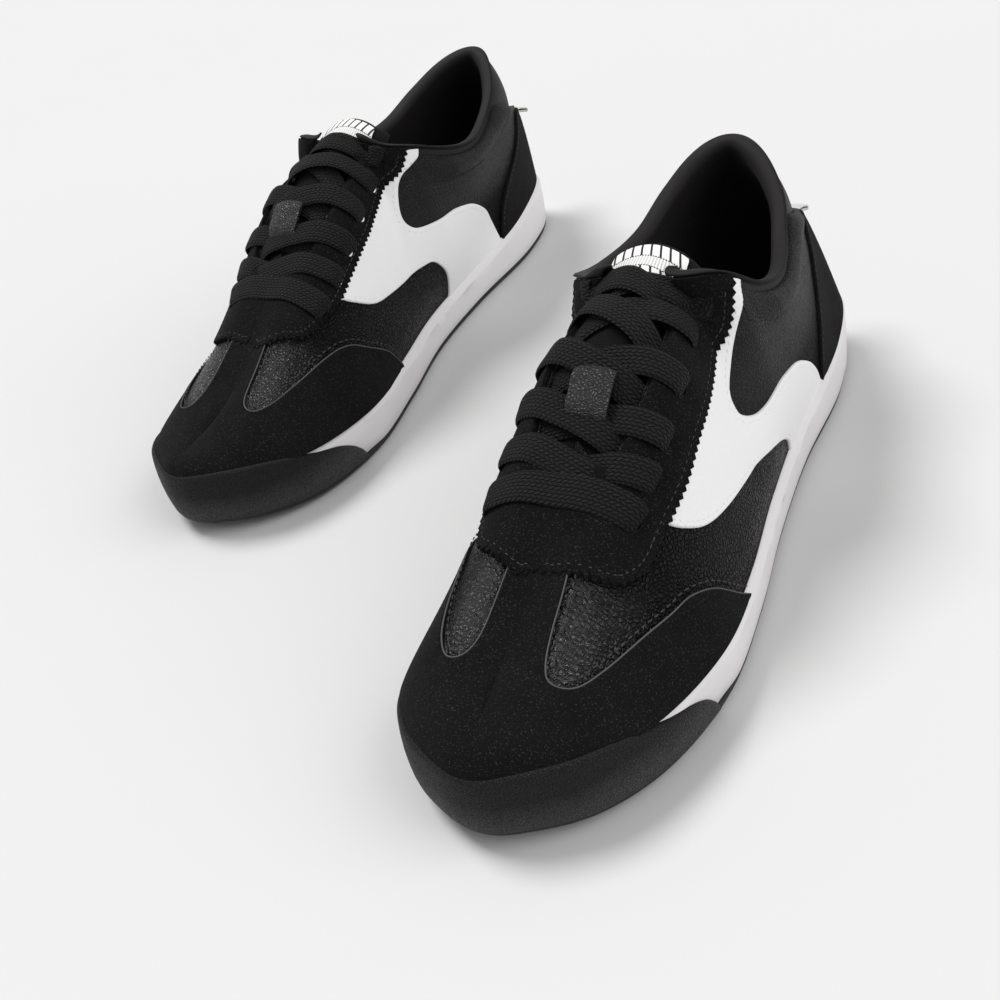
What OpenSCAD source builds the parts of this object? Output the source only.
// A pair of low lace-up sports shoes, left and right, standing side by side
// with the right shoe set one step back. Units are millimetres.
// Frame: +Z up, toes towards -Y, +X towards the wearer's left, origin on the
// floor in the middle of the pair.
// Inside one shoe: x runs from the heel (0) to the toe, y is + on the outer
// side, z is up. Every upper piece is a patch of one "last" surface, given by
// ribs that climb from the sole edge to the instep ridge or the collar rim.
// A place on the last is a cell [side, station, rise]: side 1 outer or -1 inner,
// station 0 at the toe to 1 at the heel, rise 0 at the sole edge to 1 at the top.

/* [Layout] */
// Distance between the two shoes' centre lines
pair_pitch = 184; // [150:1:240]
// How far the right shoe stands behind the left shoe
pair_stagger = 100; // [0:1:140]

/* [Sole] */
// Width factor of the sole plan
sole_wide = 1; // [0.94:0.01:1.06]
// Thickness of the rubber outsole sheet
outsole_t = 3.5; // [3:0.1:4.5]
// Lift of the toe tip off the floor
toe_spring = 5; // [2:0.5:7]
// Wall thickness of the sole cup
cup_wall = 3; // [2.5:0.1:3.6]
// Thickness of the toe bumper
bumper_t = 2.4; // [2:0.1:2.8]
// Thickness of the footbed
footbed_t = 3.4; // [2.5:0.1:4]

/* [Upper] */
// Thickness of the base leather
leather_t = 1.1; // [0.9:0.1:1.2]
// Thickness of the overlays and flashes
overlay_t = 1.0; // [0.8:0.1:1.1]
// Air gap between stacked layers
layer_gap = 0.5; // [0.45:0.05:0.6]
// Depth of the collar padding
collar_pad = 4; // [3.6:0.1:4.4]
// Thickness of the tongue
tongue_t = 3.2; // [2.6:0.1:3.6]
// How far the tongue stands out of the throat
tongue_out = 16; // [12:1:18]

/* [Laces] */
// Width of the flat lace
lace_w = 8.5; // [7:0.5:9]
// Thickness of the flat lace
lace_t = 1.2; // [1:0.1:1.3]
// Radius of the punched eyelets
eyelet_r = 2; // [1.8:0.1:2.4]

/* [Hidden] */

// ---- colours ----
jet = [0.05,0.05,0.055];
bumper_black = [0.06,0.06,0.065];
leather_black = [0.07,0.07,0.07];
tongue_black = [0.07,0.07,0.075];
footbed_black = [0.07,0.07,0.08];
overlay_black = [0.08,0.08,0.085];
lining_black = [0.1,0.1,0.1];
stiffener_grey = [0.35,0.33,0.3];
board_tan = [0.55,0.5,0.42];
label_white = [0.88,0.88,0.86];
sole_white = [0.9,0.9,0.88];
flash_white = [0.9,0.9,0.89];

// ---- maths ----
function clamp(x,low,high) = min(max(x,low),high);
function mix(from,to,part) = from+(to-from)*part;
// smooth step from 0 at start to 1 at end
function ramp(x,start,end) = let(part=clamp((x-start)/(end-start),0,1)) part*part*(3-2*part);
function unit(v) = v/max(norm(v),1e-9);
function side_of(x) = x<0 ? -1 : 1;
// table lookup by straight lines, 2-D points or numbers; part runs 0 to 1
function lookup_line(part,table) = let(
    last=len(table)-1, x=clamp(part,0,1)*last, i=min(floor(x),last-1))
    table[i]*(1-(x-i))+table[i+1]*(x-i);

// A curve is [keys, values, slopes], read as a cubic between its keys
function slopes(keys,values) = let(n=len(keys),
    step=[for(i=[0:n-2]) (values[i+1]-values[i])/(keys[i+1]-keys[i])])
    [for(i=[0:n-1]) i==0 ? step[0] : i==n-1 ? step[n-2] :
        (step[i]*(keys[i]-keys[i-1])+step[i-1]*(keys[i+1]-keys[i]))/(keys[i+1]-keys[i-1])];
function curve(keys,values) = [keys,values,slopes(keys,values)];
// the same, with level ends
function level_curve(keys,values) = let(inner=slopes(keys,values), last=len(keys)-1)
    [keys,values,[for(i=[0:last]) (i==0 || i==last) ? 0 : inner[i]]];
function span(x,keys,i=0) = (i>=len(keys)-2 || x<keys[i+1]) ? i : span(x,keys,i+1);
function read(line,key) = let(keys=line[0], values=line[1], slope=line[2],
    x=clamp(key,keys[0],keys[len(keys)-1]), i=span(x,keys),
    gap=keys[i+1]-keys[i], f=(x-keys[i])/gap)
    (2*pow(f,3)-3*f*f+1)*values[i] + (pow(f,3)-2*f*f+f)*gap*slope[i]
    + (-2*pow(f,3)+3*f*f)*values[i+1] + (pow(f,3)-f*f)*gap*slope[i+1];

// ---- sole plan ----
// [x, y] outline of the sole: heel point first, then outer side, toe, inner side
outline = [
    [0,0],[10,20.5],[44,30],[90,32],[131,37],[168,43.5],[203.5,47],[237,42],[261,30],[275,13],
    [279,2],[276.5,-10],[266,-27],[245,-40.5],[211.5,-44.5],[175,-38.5],[136,-30],[94,-27.5],
    [47,-28.5],[12,-20]];
outline_n = len(outline);
toe_i = 10; // index of the toe point
toe_x = outline[toe_i].x;
// outline points passed since the toe, by station
outline_steps = curve([0,0.06,0.14,0.24,0.36,0.48,0.60,0.72,0.86,0.955,1.0],
    [for(i=[0:toe_i]) i]);
// height of the sole edge, by x
edge_z = curve([0,30,80,140,190,235,262,toe_x], [27,24,18,17,18.5,21.5,24.5,27]);
spring_x = 190; // the toe spring starts here
heel_lift = 1.5;
heel_lift_x = 25; // the heel lift ends here

// closed smooth curve through the outline points
function loop(pos) = let(i=floor(pos), f=pos-i,
    p0=outline[(i-1+outline_n)%outline_n], p1=outline[(i+outline_n)%outline_n],
    p2=outline[(i+1)%outline_n], p3=outline[(i+2)%outline_n])
    0.5*((2*p1)+(p2-p0)*f+(2*p0-5*p1+4*p2-p3)*f*f+(3*p1-p0-3*p2+p3)*pow(f,3));
function plan(station,side) = let(p=loop(toe_i-side*read(outline_steps,station)))
    [p.x, p.y*sole_wide];
// outward direction of the plan
function plan_out(station,side) = let(
    along=unit(plan(min(station+0.001,1),side)-plan(max(station-0.001,0),side)))
    [along.y,-along.x]*side;
function base_z(x) = toe_spring*pow(clamp((x-spring_x)/(toe_x-spring_x),0,1),2)
    + heel_lift*pow(clamp((heel_lift_x-x)/heel_lift_x,0,1),2);

// ---- last surface ----
throat_at = 0.56; // station where the ridge opens into the throat
// instep ridge, by station
ridge_keys = [0,0.14,0.24,0.36,0.48,throat_at];
ridge_x = curve(ridge_keys, [244,224,203,178,150,124.5]);
ridge_z = curve(ridge_keys, [37,46,58,74.5,93.5,101.2]);
// throat and collar rim, by station
rim_keys = [throat_at,0.60,0.66,0.72,0.79,0.86,0.92,0.965,1.0];
rim_x = level_curve(rim_keys, [124.5,130.5,124.5,109.5,88.5,66,47.5,33.2,27]);
rim_y = curve(rim_keys, [0,9.5,23.5,29.5,30.4,25.8,20.2,10.2,0]);
rim_z = level_curve(rim_keys, [101.2,98.5,96,84.4,77,77.8,86,95,97]);
// extra half width of the rim on the inner side
rim_extra = curve(rim_keys, [0,0.8,1.6,2.8,3,1.4,0.2,0,0]);
// y of the centre line of the rib tops, by x
centre_y = curve([0,60,130,200,244], [-12.5,-4.5,0,0,-2.6]);
// rib handles by station, [outer side, inner side]
rib_keys = [0,0.15,0.3,0.45,0.57,0.66,0.8,0.92,1];
foot_len = [curve(rib_keys, [8,12,16,23,27,27,24,26,28]),
            curve(rib_keys, [8,12,16.5,23.5,28,28.5,24,26,28])];
foot_lean = [curve(rib_keys, [105,123,127,108,89,82,89,108,95]),
             curve(rib_keys, [105,116,117,98,78,68,89,89,95])];
top_len = [curve(rib_keys, [12,14.5,18,28,23.5,22,18,20,20]),
           curve(rib_keys, [12,17.5,24,32,28,26,18,20,20])];
// angle of the top handle below level, both sides
top_dip = curve([0,0.52,0.60,0.68,0.78,0.9,1], [0,2,36,66,72,66,60]);

function rib_top(station,side) = let(ridge=station<=throat_at,
    x=read(ridge?ridge_x:rim_x,station), z=read(ridge?ridge_z:rim_z,station),
    y=ridge ? 0 : (read(rim_y,station)+(side>0?0:read(rim_extra,station)))*side)
    [x, y+read(centre_y,x), z];
// slope dz/dx of the ridge
function ridge_slope(station) = let(mid=min(station,0.559), near=mid-0.001, far=mid+0.001)
    (read(ridge_z,far)-read(ridge_z,near))/(read(ridge_x,far)-read(ridge_x,near)-0.000001);
// one rib as a Bezier: four control points
function rib(station,side) = let(
    edge=plan(station,side), n=plan_out(station,side), out=[n.x,n.y,0], k=side>0?0:1,
    foot=[edge.x-n.x*2.5,edge.y-n.y*2.5,read(edge_z,edge.x)], top=rib_top(station,side),
    lean=read(foot_lean[k],station), dip=read(top_dip,station),
    blend=ramp(station,0.66,0.52),
    away=unit(unit([foot.x-top.x,foot.y-top.y,0])*blend+out*(1-blend)),
    climb=ridge_slope(station)*ramp(station,0.60,0.54)*away.x)
    [foot,
     foot+read(foot_len[k],station)*(cos(lean)*out+sin(lean)*[0,0,1]),
     top+read(top_len[k],station)*(cos(dip)*(away+[0,0,climb])-sin(dip)*[0,0,1]),
     top];
function bezier(c,t) = c[0]*pow(1-t,3)+3*c[1]*t*pow(1-t,2)+3*c[2]*t*t*(1-t)+c[3]*pow(t,3);
// extra height that rounds the instep over the ridge; drop is 1 - rise
function crown(station,side,drop) = (station>0.53 || station<=0 || drop>0.45) ? 0 : let(
    steep=3*max(0,-sin(read(top_dip,station))),
    outer=steep*read(top_len[0],station), inner=steep*read(top_len[1],station),
    peak=0.05*(outer+inner), reach=2*peak/max(side>0?outer:inner,0.001))
    peak<0.001 || drop>reach ? 0 : peak*pow(1-drop/reach,2);
function last_pt(station,side,rise) = bezier(rib(clamp(station,0,1),side),rise)
    + [0,0,crown(station,side,1-rise)];
// outward normal of the last; tangents are set square across the ridge, heel and toe
function last_out(station,side,rise) = let(mid=clamp(rise,0.004,0.996), step=0.006,
    up = station<throat_at && rise>0.985 ? [0,-side,0] :
        last_pt(station,side,mid+0.004)-last_pt(station,side,mid-0.004),
    back = station>0.994 ? [0,-side,0] : station<0.004 ? [0,side,0] :
        last_pt(station+step,side,rise_of(mid))-last_pt(station-step,side,rise_of(mid)))
    unit(cross(back,up))*side;
function rise_of(mid) = mid;
// point at a cell, moved out by off
function lift(cell,off) = last_pt(cell[1],cell[0],cell[2])
    + last_out(cell[1],cell[0],cell[2])*off;

// ---- solids from grids ----
// quads cut into triangles, without the collapsed ones
function triangles(quads,flip=false) = [for(q=quads) for(k=[1,2])
    let(t=[q[0],q[k],q[k+1]])
    if(t[0]!=t[1] && t[1]!=t[2] && t[0]!=t[2]) flip ? [t[0],t[2],t[1]] : t];
// closed solid between two point grids of the same size
// zip = true joins the last column of row i to that of row n-1-i
module slab(upper,lower,flip,zip=false) {
    n = len(upper);
    m = len(upper[0]);
    function id(l,i,j) = l*n*m + ((zip && j==m-1) ? min(i,n-1-i) : i)*m + j;
    quads = concat(
        [for(i=[0:n-2]) for(j=[0:m-2]) [id(0,i,j),id(0,i,j+1),id(0,i+1,j+1),id(0,i+1,j)]],
        [for(i=[0:n-2]) for(j=[0:m-2]) [id(1,i,j),id(1,i+1,j),id(1,i+1,j+1),id(1,i,j+1)]],
        [for(i=[0:n-2]) [id(0,i,0),id(0,i+1,0),id(1,i+1,0),id(1,i,0)]],
        zip ? [] :
            [for(i=[0:n-2]) [id(0,i,m-1),id(1,i,m-1),id(1,i+1,m-1),id(0,i+1,m-1)]],
        [for(j=[0:m-2]) [id(0,0,j),id(1,0,j),id(1,0,j+1),id(0,0,j+1)]],
        [for(j=[0:m-2]) [id(0,n-1,j),id(0,n-1,j+1),id(1,n-1,j+1),id(1,n-1,j)]]);
    polyhedron(points=[for(grid=[upper,lower]) for(row=grid) for(p=row) p],
        faces=triangles(quads,flip), convexity=6);
}
// slab over point grids already in space, wound by its first corner
module skin(upper,lower) {
    corner = upper[0][0];
    slab(upper,lower,
        flip=cross(upper[0][1]-corner,upper[1][0]-corner)*(corner-lower[0][0]) > 0);
}
function lifted(cells,off) = [for(row=cells) [for(cell=row) lift(cell,off)]];
// whether a grid's rows and columns turn against the outward normal, by one inner quad
function turns_in(cells) = let(i=floor(len(cells)/3),
    j=min(floor(len(cells[0])/2)+1,len(cells[0])-1)-1,
    cell=cells[i][j], corner=lift(cell,0))
    cross(lift(cells[i][j+1],0)-corner,lift(cells[i+1][j],0)-corner)
        *last_out(cell[1],cell[0],cell[2]) < 0;
// layer of the upper over a grid of cells, between two offsets from the last
module shell(cells,from,to,zip=false)
    slab(lifted(cells,to),lifted(cells,from),flip=!turns_in(cells),zip=zip);
// one row of cells up a rib
function rib_row(side,station,low,high,n) =
    [for(j=[0:n]) [side,station,low+(high-low)*j/n]];
// rows round the toe, from station end on the inner side to the outer side
function toe_fan(end,n,m,low,high) =
    [for(q=[-n:n]) rib_row(q>0?1:-1,end*abs(q)/n,low,high,m)];

// ---- the sole unit ----
ring_n = 30;
// stations around the sole, closer together at toe and heel
ring_stations = [for(i=[0:ring_n]) let(t=i/ring_n)
    t<0.3 ? 0.16*t/0.3 : t<0.7 ? 0.16+0.70*(t-0.3)/0.4 : 0.86+0.14*(t-0.7)/0.3];
// what a ring's height is measured from
from_base = 0;
from_edge = 1;
as_fraction = 2; // part of the way from base to edge
function ring_pt(i,side,inset,mode,height) = let(station=ring_stations[i],
    p=plan(station,side), n=plan_out(station,side), base=base_z(p.x), edge=read(edge_z,p.x))
    [p.x-n.x*inset, p.y-n.y*inset,
     mode==from_base ? base+height : mode==from_edge ? edge+height : base+height*(edge-base)];
// 1 where the toe bumper wraps the sole, 0 behind it
function front(station) = ramp(station,0.46,0.40);
// stacked rings: each entry [inset, mode, height, extra inset at the front]
module rings(levels) {
    n = len(levels);
    k = 2*ring_n;
    points = [for(level=levels) for(q=[0:k-1]) let(i=q<=ring_n?q:k-q)
        ring_pt(i,q<=ring_n?1:-1,level[0]+level[3]*front(ring_stations[i]),
            level[1],level[2])];
    function id(l,q) = l*k+((q+k)%k);
    walls = [for(l=[0:n-2]) for(q=[0:k-1]) [id(l,q),id(l,q+1),id(l+1,q+1),id(l+1,q)]];
    bottom = [for(i=[0:ring_n-1]) [id(0,i),id(0,k-i),id(0,k-i-1),id(0,i+1)]];
    lid = [for(i=[0:ring_n-1]) [id(n-1,i),id(n-1,i+1),id(n-1,k-i-1),id(n-1,k-i)]];
    polyhedron(points=points, faces=triangles(concat(walls,bottom,lid)), convexity=6);
}

cup_floor = 6.5; // height of the cup's floor above the base line
cup_lip = 2.3; // inset of the cup's top edge
board_z = cup_floor+0.4;
board_t = 1.5;
footbed_z = cup_floor+2.3;

module outsole() color(jet)
    rings([[2.6,from_base,0,0],[1.6,from_base,0.9,0],[1.8,from_base,outsole_t,0]]);
module midsole() color(sole_white) rings([
    [2.0,from_base,outsole_t+0.02,bumper_t],
    [0,as_fraction,0.45,bumper_t+0.4],
    [0.3,as_fraction,0.8,bumper_t+0.4],
    [cup_lip,from_edge,-0.2,bumper_t-1.6],
    [cup_lip+cup_wall,from_edge,-0.2,bumper_t-2],
    [3.2+cup_wall,from_base,cup_floor,bumper_t-1.2]]);
module lasting_board() color(board_tan)
    rings([[9.5,from_base,board_z,0.6],[9.5,from_base,board_z+board_t,0.6]]);
module footbed() color(footbed_black) rings([
    [8.2,from_base,footbed_z,1.2],
    [8,from_base,footbed_z+footbed_t,1.4],
    [11,from_base,footbed_z-0.2+footbed_t,1.4]]);

bumper_end = 0.33; // last station of the bumper
bumper_fall = 0.20; // station where its top edge starts to fall
// top edge of the bumper as a fraction of the wall height
function bumper_top(station) = station<bumper_fall ? 1.0 :
    lookup_line((station-bumper_fall)/(bumper_end-bumper_fall),
        [1.0,0.93,0.85,0.72,0.46,0.12]);
// point on the sole wall, at a fraction of its height
function wall_pt(side,station,part,inset) = let(
    p=plan(station,side), n=plan_out(station,side),
    base=base_z(p.x)+outsole_t+0.05, edge=read(edge_z,p.x))
    [p.x-n.x*inset, p.y-n.y*inset, base+part*(edge-base)];
// wall rows round the toe, with one inset for each point going up
function bumper_grid(insets) = [for(q=[-14:14]) let(station=bumper_end*abs(q)/14)
    [for(j=[0:4]) wall_pt(side_of(q),station,bumper_top(station)*j/4,insets[j])]];
module toe_bumper() color(bumper_black)
    skin(bumper_grid([1.0,0,0,0.2,0.9]),
        bumper_grid([2.6,bumper_t,bumper_t,bumper_t,bumper_t-0.6]));

// ---- the base layer of the upper ----
// front edge of the quarter: rise by station, from the vamp to the throat
facing_edge = [[0.33,0.40,0.50,0.56,0.605], [0.74,0.75,0.76,0.82,0.985],
    [0.2,0.1,0.3,1.6,3]];
// rise of the line where the padded collar starts, by station
collar_line = level_curve([0.66,0.70,0.74,0.80,0.86,0.90,0.92,0.94,0.96,1],
    [0.71,0.735,0.77,0.80,0.79,0.75,0.72,0.64,0.53,0.41]);
// stations from the heel forward, shared by the layers that lie on each other there
heel_stations = [1,0.988,0.976,0.964,0.952,0.94,0.925,0.91,0.89,0.87,0.85,0.825,0.80];
quarter_stations = concat(
    [0.333,0.365,0.40,0.44,0.48,0.52,0.56,0.59,0.615,0.64,0.666,0.676,0.71,0.74,0.77],
    [for(i=[12:-1:1]) heel_stations[i]], [0.997]);
function quarter_top(station) = station<0.60 ? read(facing_edge,station) :
    station<0.67 ? 0.975 : read(collar_line,station)-0.02;

module vamp() color(leather_black)
    shell(toe_fan(0.325,9,9,0.02,1),from=-leather_t,to=0,zip=true);
module quarter(side) color(leather_black)
    shell([for(station=quarter_stations) rib_row(side,station,0.02,quarter_top(station),6)],
        from=-leather_t,to=0);
module vamp_lining() color(lining_black)
    shell(toe_fan(0.30,8,7,0.10,1),from=-3.5,to=-2.9,zip=true);
module toe_puff() color(stiffener_grey)
    shell(toe_fan(0.15,6,5,0.08,1),from=-2.4,to=-leather_t-layer_gap,zip=true);
module heel_counter() color(stiffener_grey)
    shell([for(q=[-12:12]) let(station=heel_stations[abs(q)])
        rib_row(side_of(q),station,0.05,0.05+min(0.62,read(collar_line,station)-0.085),4)],
        from=-2.6,to=-leather_t-layer_gap-0.1);
module quarter_lining() color(overlay_black)
    shell([for(q=[-20:20]) rib_row(side_of(q),1-0.36*abs(q)/20,0.06,0.90,6)],
        from=-collar_pad-1.7,to=-collar_pad-0.9);
module collar_padding() color(bumper_black)
    shell([for(q=[-22:22]) let(station=1-0.308*abs(q)/22)
        rib_row(side_of(q),station,read(collar_line,station),0.995,3)],
        from=-collar_pad,to=0.6);

// ---- overlays ----
overlay_in = layer_gap;
overlay_face = overlay_in+overlay_t;
eyestay_in = overlay_face+layer_gap;
eyestay_face = eyestay_in+overlay_t;

// top edge of the side strips behind the toe overlay: rise by station
strip_top = [[0.137,0.16,0.20,0.26,0.32,0.36,0.40,0.44],
    [0.40,0.36,0.335,0.31,0.27,0.24,0.16,0.03],
    [-1.7,-1.2,-0.4,-0.5,-0.7,-1.1,-2.4,-3.2]];
module toe_overlay() color(overlay_black) {
    shell(toe_fan(0.132,6,8,0.04,1),from=overlay_in,to=overlay_face,zip=true);
    for(side=[1,-1])
        shell([for(i=[0:9]) let(station=0.137+0.290*i/9)
            rib_row(side,station,0.035,read(strip_top,station),3)],
            from=overlay_in,to=overlay_face);
}

// edges of the eyestay: [station, distance from the ridge], from the throat to the toe
stay_edge_outer = [[0.670,0.06],[0.622,0.29],[0.542,0.455],[0.471,0.51],[0.426,0.54],
    [0.379,0.55],[0.335,0.57],[0.30,0.55],[0.265,0.47],[0.215,0.26],[0.19,0.02]];
stay_edge_inner = [[0.670,0.05],[0.624,0.22],[0.536,0.42],[0.491,0.48],[0.445,0.51],
    [0.409,0.53],[0.37,0.53],[0.31,0.49],[0.26,0.36],[0.215,0.24],[0.19,0.02]];
// edge along the opening, both sides
stay_opening = [[0.61,0.02],[0.565,0.16],[0.52,0.235],[0.46,0.25],[0.42,0.25],[0.39,0.25],
    [0.37,0.25],[0.35,0.24],[0.335,0.20],[0.325,0.10],[0.322,0.02]];
// eyelet centres: [station, rise], from the throat to the toe
eyelets_outer = [[0.600,0.83],[0.540,0.67],[0.485,0.63],[0.432,0.60],[0.387,0.575],
    [0.338,0.56]];
eyelets_inner = [[0.600,0.84],[0.550,0.67],[0.509,0.61],[0.462,0.56],[0.418,0.53],
    [0.364,0.51]];
function eyelets(side) = side>0 ? eyelets_outer : eyelets_inner;
function stay_cells(side) = [for(i=[0:13]) let(
    edge=lookup_line(i/13,side>0?stay_edge_outer:stay_edge_inner),
    opening=lookup_line(i/13,stay_opening))
    [for(j=[0:3]) let(p=mix(edge,opening,j/3)) [side,p[0],1-p[1]]]];
module eyelet_hole(side,eyelet) {
    cell = [side,eyelet[0],eyelet[1]];
    start = lift(cell,eyestay_in-0.6);
    end = lift(cell,eyestay_face+0.6);
    axis = unit(end-start);
    translate(start) rotate([0,acos(axis.z),atan2(axis.y,axis.x)])
        cylinder(r=eyelet_r,h=norm(end-start),$fn=14);
}
module eyestay() color(overlay_black) for(side=[1,-1]) difference() {
    shell(stay_cells(side),from=eyestay_in,to=eyestay_face);
    for(eyelet=eyelets(side)) eyelet_hole(side,eyelet);
}

// front and rear edges of the side flashes: [station, rise], from the top down
flash_front_outer = [[0.672,0.91],[0.632,0.69],[0.552,0.505],[0.479,0.455],[0.432,0.425],
    [0.388,0.42],[0.396,0.385],[0.43,0.32],[0.474,0.27],[0.532,0.235],[0.591,0.21],
    [0.639,0.17],[0.668,0.09],[0.678,0.025]];
flash_rear_outer = [[0.682,0.90],[0.664,0.79],[0.629,0.68],[0.583,0.54],[0.57,0.50],
    [0.562,0.47],[0.558,0.44],[0.56,0.42],[0.565,0.39],[0.59,0.37],[0.629,0.37],
    [0.69,0.385],[0.75,0.32],[0.785,0.025]];
flash_front_inner = [[0.672,0.92],[0.632,0.76],[0.546,0.555],[0.50,0.495],[0.453,0.465],
    [0.418,0.455],[0.431,0.41],[0.471,0.32],[0.511,0.29],[0.551,0.28],[0.588,0.285],
    [0.62,0.27],[0.645,0.17],[0.652,0.025]];
flash_rear_inner = [[0.684,0.91],[0.664,0.85],[0.634,0.78],[0.603,0.68],[0.584,0.58],
    [0.579,0.54],[0.578,0.51],[0.582,0.49],[0.588,0.48],[0.61,0.47],[0.658,0.48],
    [0.71,0.49],[0.75,0.44],[0.785,0.025]];
module flash(side) color(flash_white) {
    fore = side>0 ? flash_front_outer : flash_front_inner;
    rear = side>0 ? flash_rear_outer : flash_rear_inner;
    shell([for(i=[0:13]) [for(j=[0:3]) let(p=mix(fore[i],rear[i],j/3)) [side,p[0],p[1]]]],
        from=overlay_in,to=overlay_face);
}

// front edge of the heel overlay: station by rise
heel_front = [[0,0.2,0.37], [0.803,0.82,0.858], [0.05,0.15,0.3]];
module heel_overlay() color(overlay_black)
    shell([for(q=[-18:18]) [for(j=[0:6]) let(rise=0.035+0.33*j/6)
        [side_of(q),1-(1-read(heel_front,rise))*abs(q)/18,rise]]],
        from=overlay_in+0.1,to=overlay_face+0.1);
pull_tab = [8.3,14,1.2];
module heel_pull_tab() color(sole_white)
    translate(lift([1,1,0.388],1.4)) rotate([0,-8,0])
        translate([-9.5,-pull_tab.y/2,-pull_tab.z/2]) cube(pull_tab);

// ---- tongue and label ----
// across is the distance from the ridge, + on the outer side
function across_pt(station,across,off) = lift([side_of(across),station,1-abs(across)],off);
tongue_face = -leather_t-0.9;
tongue_back = tongue_face-tongue_t;
tongue_across = [for(j=[-3:3]) 0.27*j/3];
label_across = [for(j=[-2:2]) 0.17*j/2];
// station of a tongue point, bowed so that the row runs straight across
function bowed(station,across) =
    station+0.16*(abs(across)-0.1)*clamp((throat_at-station)/0.1,0,1);
// rows 0 to 6 lie on the last, later rows stand out of the throat
function tongue_pt(row,across,off) = row<=6 ?
    across_pt(bowed(0.475+0.013*row,across),across*(1-0.02*row),off) :
    across_pt(0.553,across*0.86,off)+(row-6)*tongue_out/3*[-0.97,0,0.16];
function tongue_grid(rows,line,off) =
    [for(row=rows) [for(across=line) tongue_pt(row,across,off)]];
function tongue_base_grid(off) = [for(i=[0:5]) [for(across=tongue_across)
    across_pt(bowed(0.355+0.0222*i,across),across,off)]];
module tongue() color(tongue_black)
    skin(tongue_grid([0:9],tongue_across,tongue_face),
        tongue_grid([0:9],tongue_across,tongue_back));
module tongue_base() color(tongue_black)
    skin(tongue_base_grid(tongue_face),tongue_base_grid(tongue_back));
label_rows = [for(i=[0:3]) 6.4+i*0.85];
module tongue_label() color(label_white)
    skin(tongue_grid(label_rows,label_across,tongue_face+0.9),
        tongue_grid(label_rows,label_across,tongue_face+0.3));

// ---- lace and keeper ----
lace_z = eyestay_face+2.8; // lift of the lowest lace runs
keeper_z = lace_z+2*lace_t+3.2;
keeper_t = 1;
// smooth outward direction across the throat, for pieces that bridge it
function bridge_out(station,across) = let(blend=ramp(abs(across),0,0.4))
    unit(last_out(min(station,0.55),1,1)*(1-blend)
        + last_out(station,side_of(across),0.6)*blend);
function bridge_pt(station,across,off) =
    across_pt(station,across,0)+bridge_out(station,across)*off;
// one flat lace run between two ends [station, across], lifted by off
module run(start,end,off) {
    n = 10;
    bow = max(0.015,0.075-0.2*((start[0]+end[0])/2-0.33));
    across = [for(i=[0:n]) mix(start[1],end[1],i/n)];
    stations = [for(i=[0:n]) let(dist=abs(across[i]))
        min(mix(start[0],end[0],i/n)-bow*(1-min(dist/0.42,1)),0.548+0.3*dist)];
    mid = [for(i=[0:n]) bridge_pt(stations[i],across[i],off)];
    out = [for(i=[0:n]) bridge_out(stations[i],across[i])];
    half = [for(i=[0:n])
        unit(cross(out[i],unit(mid[min(i+1,n)]-mid[max(i-1,0)])))*lace_w/2];
    skin([for(i=[0:n]) [mid[i]-half[i]+out[i]*lace_t, mid[i]+half[i]+out[i]*lace_t]],
        [for(i=[0:n]) [mid[i]-half[i], mid[i]+half[i]]]);
}
// lace end near eyelet i, moved by a station shift and tucked towards the ridge
function lace_end(side,i,shift,tuck=0.02) = let(eyelet=eyelets(side)[i])
    [eyelet[0]+shift, side*(1-eyelet[1]-tuck)];
module lace() color(jet) {
    for(i=[0:4]) {
        shift = i==4 ? 0.014 : -0.002;
        run(lace_end(-1,i+1,shift),lace_end(1,i,0.004),lace_z+(i==0?1.0:0));
        run(lace_end(1,i+1,shift),lace_end(-1,i,0.004),lace_z+lace_t+1.7);
    }
    // straight bar at the toe end
    run(lace_end(-1,5,-0.034,0.03),lace_end(1,5,-0.032,0.03),lace_z+0.7);
}
function keeper_grid(off) = [for(i=[0:4]) [for(across=[-0.1,-0.03,0.04,0.11])
    bridge_pt(0.386+0.011*i,across,off+0.5*sin(45*i))]];
module lace_keeper() color(lining_black)
    skin(keeper_grid(keeper_z+keeper_t),keeper_grid(keeper_z));

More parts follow.
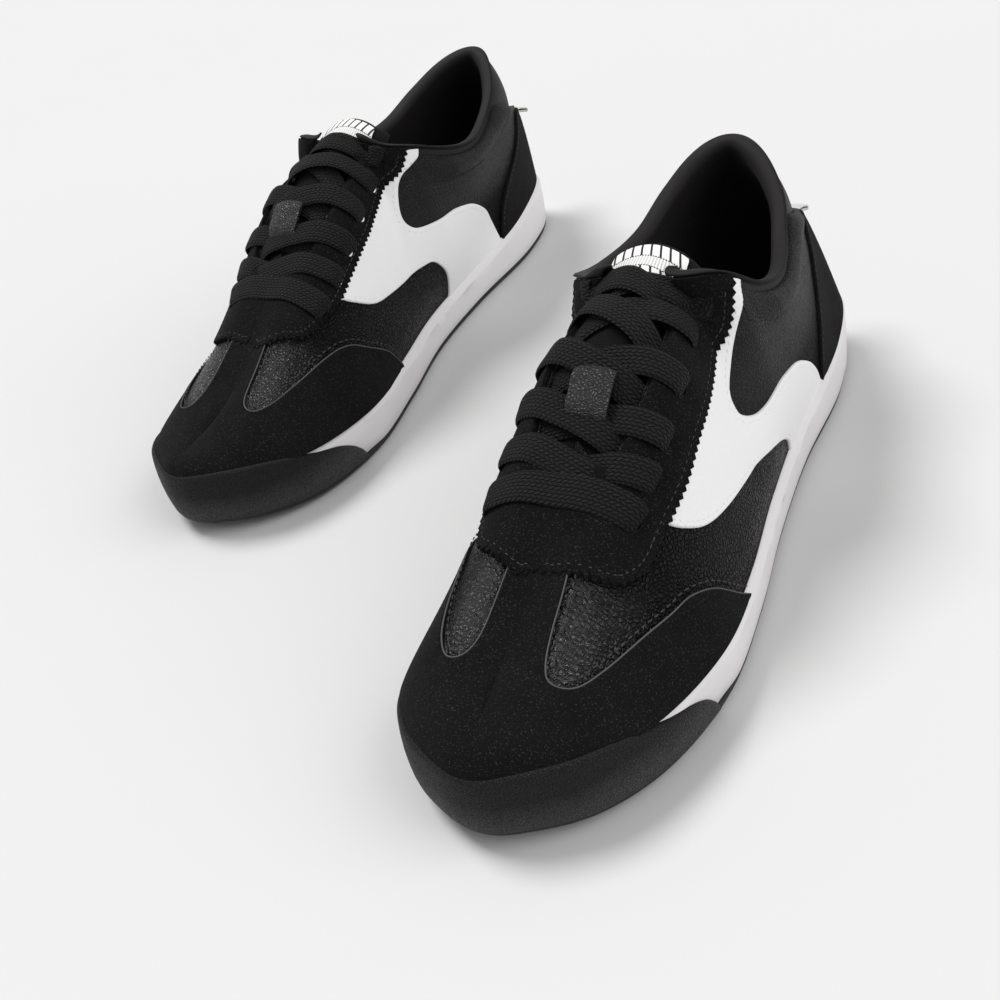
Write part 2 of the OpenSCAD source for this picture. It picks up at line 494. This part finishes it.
// ---- placing the two shoes ----
// x of the midsole's widest ring, used to centre the pair front to back
sole_xs = [for(side=[1,-1]) for(i=[0:ring_n])
    ring_pt(i,side,0.42*front(ring_stations[i]),as_fraction,0.45).x];
left_y = (min(sole_xs)+max(sole_xs)-pair_stagger)/2;
module left() translate([pair_pitch/2,left_y,0]) rotate(-90) children();
module right() translate([-pair_pitch/2,left_y+pair_stagger,0])
    mirror([1,0,0]) rotate(-90) children();

left() outsole();  // left_outsole
left() midsole();  // left_midsole
left() toe_bumper();  // left_toe_bumper
left() lasting_board();  // left_lasting_board
left() footbed();  // left_footbed
left() vamp();  // left_vamp
left() quarter(1);  // left_quarter_outer
left() quarter(-1);  // left_quarter_inner
left() vamp_lining();  // left_vamp_lining
left() toe_puff();  // left_toe_puff
left() heel_counter();  // left_heel_counter
left() quarter_lining();  // left_quarter_lining
left() collar_padding();  // left_collar_padding
left() toe_overlay();  // left_toe_overlay
left() eyestay();  // left_eyestay
left() flash(1);  // left_flash_outer
left() flash(-1);  // left_flash_inner
left() heel_overlay();  // left_heel_overlay
left() heel_pull_tab();  // left_heel_pull_tab
left() tongue();  // left_tongue
left() tongue_base();  // left_tongue_base
left() tongue_label();  // left_tongue_label
left() lace();  // left_lace
left() lace_keeper();  // left_lace_keeper
right() outsole();  // right_outsole
right() midsole();  // right_midsole
right() toe_bumper();  // right_toe_bumper
right() lasting_board();  // right_lasting_board
right() footbed();  // right_footbed
right() vamp();  // right_vamp
right() quarter(1);  // right_quarter_outer
right() quarter(-1);  // right_quarter_inner
right() vamp_lining();  // right_vamp_lining
right() toe_puff();  // right_toe_puff
right() heel_counter();  // right_heel_counter
right() quarter_lining();  // right_quarter_lining
right() collar_padding();  // right_collar_padding
right() toe_overlay();  // right_toe_overlay
right() eyestay();  // right_eyestay
right() flash(1);  // right_flash_outer
right() flash(-1);  // right_flash_inner
right() heel_overlay();  // right_heel_overlay
right() heel_pull_tab();  // right_heel_pull_tab
right() tongue();  // right_tongue
right() tongue_base();  // right_tongue_base
right() tongue_label();  // right_tongue_label
right() lace();  // right_lace
right() lace_keeper();  // right_lace_keeper
